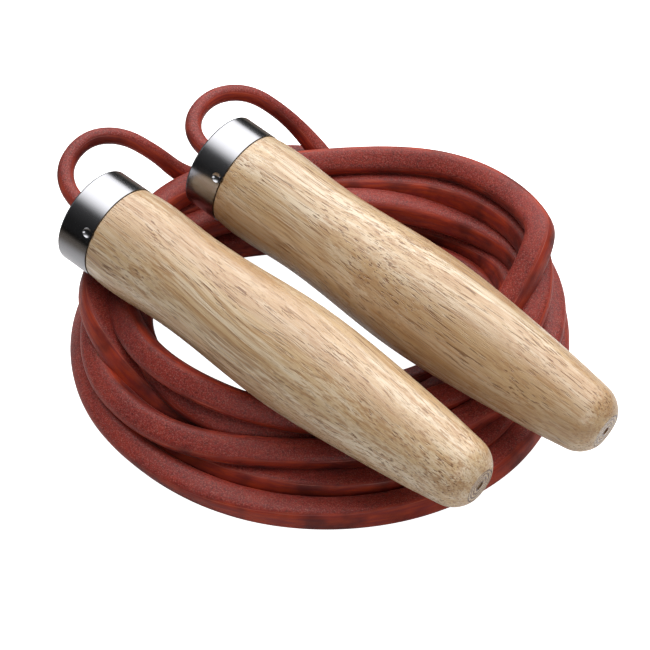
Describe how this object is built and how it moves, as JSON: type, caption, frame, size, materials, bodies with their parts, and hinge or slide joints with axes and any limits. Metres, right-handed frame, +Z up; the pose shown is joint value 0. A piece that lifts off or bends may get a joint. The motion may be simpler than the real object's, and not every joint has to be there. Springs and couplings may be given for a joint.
{
  "type": "jump rope",
  "caption": "Leather jump rope lying in a loose coil, with turned wooden handles that spin on ball bearings in polished steel ferrules.",
  "frame": {"origin": "middle of the box around the two handles, which lie on the coil; the floor is 37.7 mm below it", "axes": "+Z up from the floor the coil lies on; +X to the right and +Y to the back of the coil, with both handles pointing from back left to front right"},
  "size_m": [0.1715, 0.161, 0.0588],
  "materials": {
    "leather": "satin, oxblood red",
    "wood": "oiled, turned",
    "ferrule_steel": "polished",
    "bearing_steel": "ground",
    "ball_steel": "polished",
    "cage_brass": "stamped",
    "shield_steel": "pressed",
    "bush_brass": "turned",
    "washer_steel": "zinc plated",
    "crimp_brass": "crimped"
  },
  "bodies": {
    "rope": {"rope_coil": "leather", "rope_crossing": "leather", "left_inner_race": "bearing_steel", "left_rope_bush": "bush_brass", "left_end_washer": "washer_steel", "left_crimp_sleeve": "crimp_brass", "left_rope_end": "leather", "left_rope_tail": "leather", "right_inner_race": "bearing_steel", "right_rope_bush": "bush_brass", "right_end_washer": "washer_steel", "right_crimp_sleeve": "crimp_brass", "right_rope_end": "leather", "right_rope_tail": "leather"},
    "left_handle": {"left_grip": "wood", "left_ferrule": "ferrule_steel", "left_outer_race": "bearing_steel", "left_front_shield": "shield_steel", "left_rear_shield": "shield_steel"},
    "left_cage_and_balls": {"left_balls": "ball_steel", "left_ball_cage": "cage_brass"},
    "right_handle": {"right_grip": "wood", "right_ferrule": "ferrule_steel", "right_outer_race": "bearing_steel", "right_front_shield": "shield_steel", "right_rear_shield": "shield_steel"},
    "right_cage_and_balls": {"right_balls": "ball_steel", "right_ball_cage": "cage_brass"}
  },
  "joints": [
    {"name": "left_handle_spin", "type": "hinge", "parent": "rope", "child": "left_handle", "pos_m": [-0.07136, 0.03172, 0.00299], "axis": [0.7653, -0.6399, -0.0698], "continuous": true},
    {"name": "left_cage_spin", "type": "hinge", "parent": "rope", "child": "left_cage_and_balls", "pos_m": [-0.07136, 0.03172, 0.00299], "axis": [0.7653, -0.6399, -0.0698], "continuous": true},
    {"name": "right_handle_spin", "type": "hinge", "parent": "rope", "child": "right_handle", "pos_m": [-0.03277, 0.05383, 0.00485], "axis": [0.7632, -0.6382, -0.1011], "continuous": true},
    {"name": "right_cage_spin", "type": "hinge", "parent": "rope", "child": "right_cage_and_balls", "pos_m": [-0.03277, 0.05383, 0.00485], "axis": [0.7632, -0.6382, -0.1011], "continuous": true}
  ],
  "couplings": [
    {"joint": "left_cage_spin", "follows": "left_handle_spin", "ratio": 0.6323},
    {"joint": "right_cage_spin", "follows": "right_handle_spin", "ratio": 0.6323}
  ]
}
